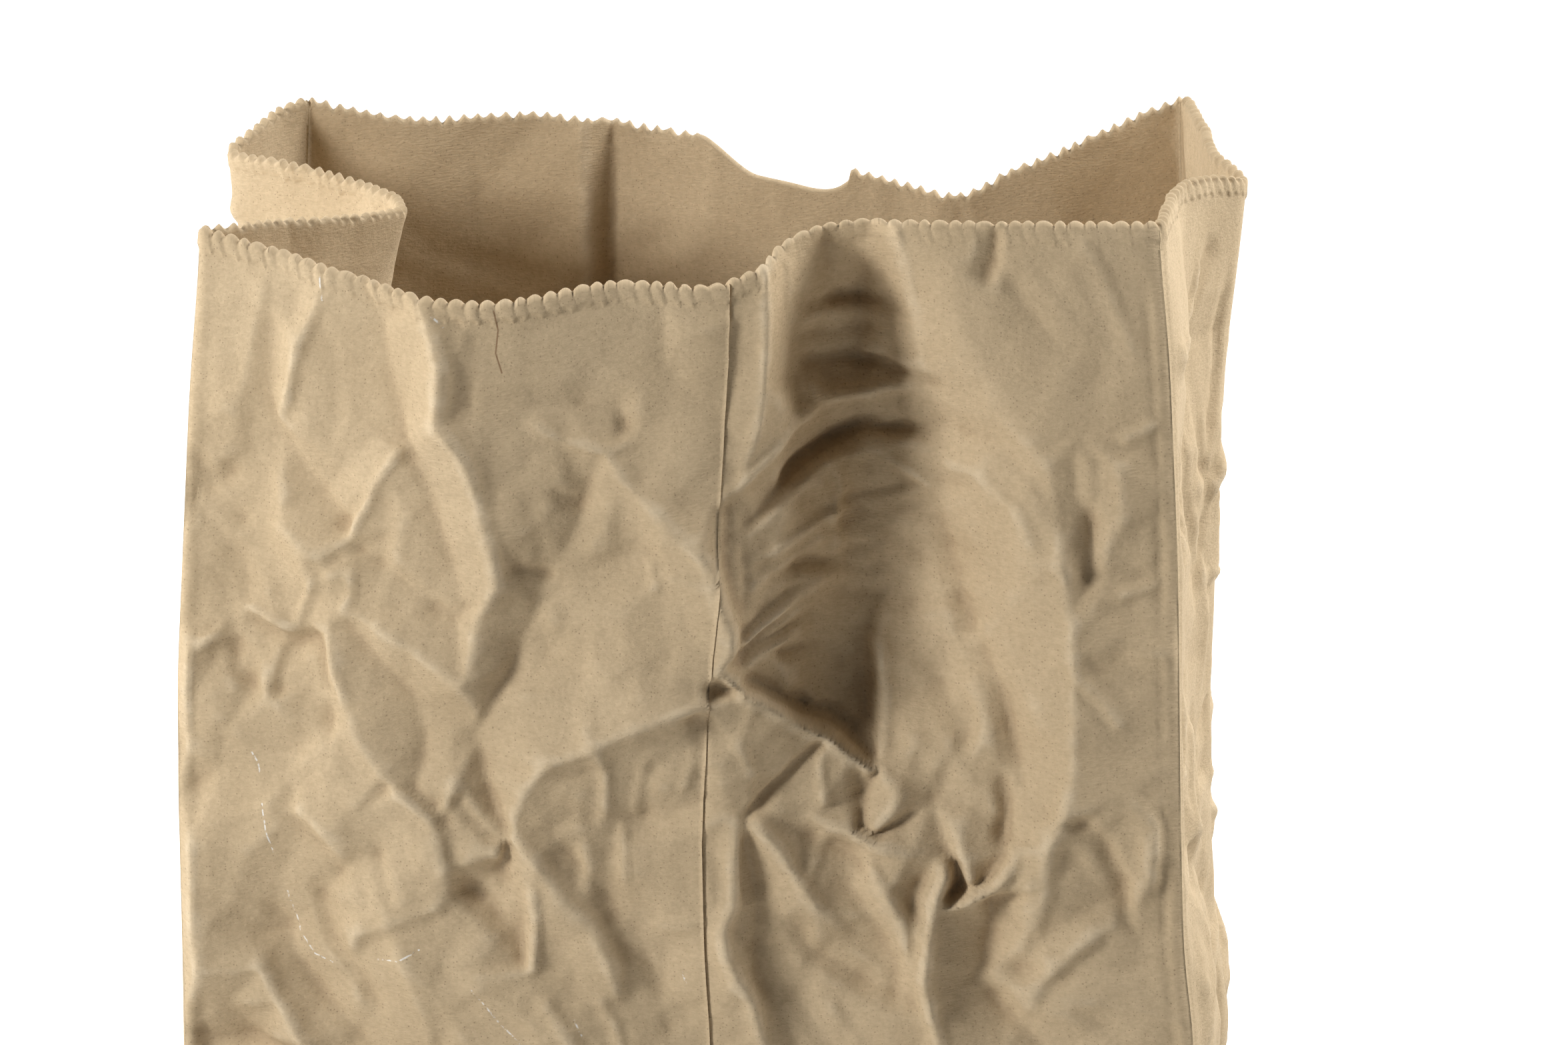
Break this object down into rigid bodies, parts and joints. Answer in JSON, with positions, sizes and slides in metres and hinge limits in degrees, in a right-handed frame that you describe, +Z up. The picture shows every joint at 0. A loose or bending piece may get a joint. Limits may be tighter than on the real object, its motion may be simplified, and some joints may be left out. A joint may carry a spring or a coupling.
{
  "type": "open paper sack with gusseted sides",
  "caption": "Crumpled brown paper sack standing open, with a pinked mouth, a thumb notch, pleated side gussets and a pasted block bottom.",
  "frame": {"origin": "middle of the base's rectangle, on the surface the sack stands on", "axes": "+Z up the sack towards its mouth, -Y the front with the glued lap, +X to the right seen from the front"},
  "size_m": [0.2651, 0.1792, 0.3627],
  "materials": {
    "kraft_wall": "matt, fibrous, creased and scuffed",
    "kraft_bottom": "matt, fibrous",
    "paste": "dried starch paste, dull"
  },
  "bodies": {
    "base": {"bottom_front_flap": "kraft_bottom", "bottom_rear_flap": "kraft_bottom", "bottom_left_tuck": "kraft_bottom", "bottom_right_tuck": "kraft_bottom", "flap_paste_strip": "paste", "left_tuck_paste": "paste", "right_tuck_paste": "paste", "left_gusset_foot": "kraft_wall", "right_gusset_foot": "kraft_wall"},
    "front": {"front_panel_left": "kraft_wall", "front_panel_right": "kraft_wall", "seam_paste_line": "paste"},
    "back": {"back_panel": "kraft_wall"},
    "left_pleat_front": {"left_gusset_front": "kraft_wall"},
    "left_pleat_rear": {"left_gusset_rear": "kraft_wall"},
    "right_pleat_front": {"right_gusset_front": "kraft_wall"},
    "right_pleat_rear": {"right_gusset_rear": "kraft_wall"}
  },
  "joints": [
    {"name": "front_lean", "type": "hinge", "parent": "base", "child": "front", "pos_m": [0, -0.0855, 0.0013], "axis": [-1, 0, 0], "range_deg": [0, 3.5]},
    {"name": "back_lean", "type": "hinge", "parent": "base", "child": "back", "pos_m": [0, 0.0855, 0.0013], "axis": [1, 0, 0], "range_deg": [0, 3.5]},
    {"name": "left_pleat_front_turn", "type": "hinge", "parent": "base", "child": "left_pleat_front", "pos_m": [-0.1285, -0.0855, 0.0013], "axis": [-0.1568, -0.0705, -0.9851], "range_deg": [0, 25.6]},
    {"name": "left_pleat_rear_turn", "type": "hinge", "parent": "base", "child": "left_pleat_rear", "pos_m": [-0.1285, 0.0855, 0.0013], "axis": [0.1954, -0.0913, 0.9765], "range_deg": [0, 22.6]},
    {"name": "right_pleat_front_turn", "type": "hinge", "parent": "base", "child": "right_pleat_front", "pos_m": [0.1285, -0.0855, 0.0013], "axis": [-0.0753, -0.09, -0.9931], "range_deg": [0, 31.9]},
    {"name": "right_pleat_rear_turn", "type": "hinge", "parent": "base", "child": "right_pleat_rear", "pos_m": [0.1285, 0.0855, 0.0013], "axis": [0.0805, -0.0799, 0.9935], "range_deg": [0, 33.2]}
  ],
  "couplings": [
    {"joint": "back_lean", "follows": "front_lean", "ratio": 1},
    {"joint": "left_pleat_front_turn", "follows": "front_lean", "ratio": 7.3087},
    {"joint": "left_pleat_rear_turn", "follows": "front_lean", "ratio": 6.4511},
    {"joint": "right_pleat_front_turn", "follows": "front_lean", "ratio": 9.0895},
    {"joint": "right_pleat_rear_turn", "follows": "front_lean", "ratio": 9.4825}
  ]
}
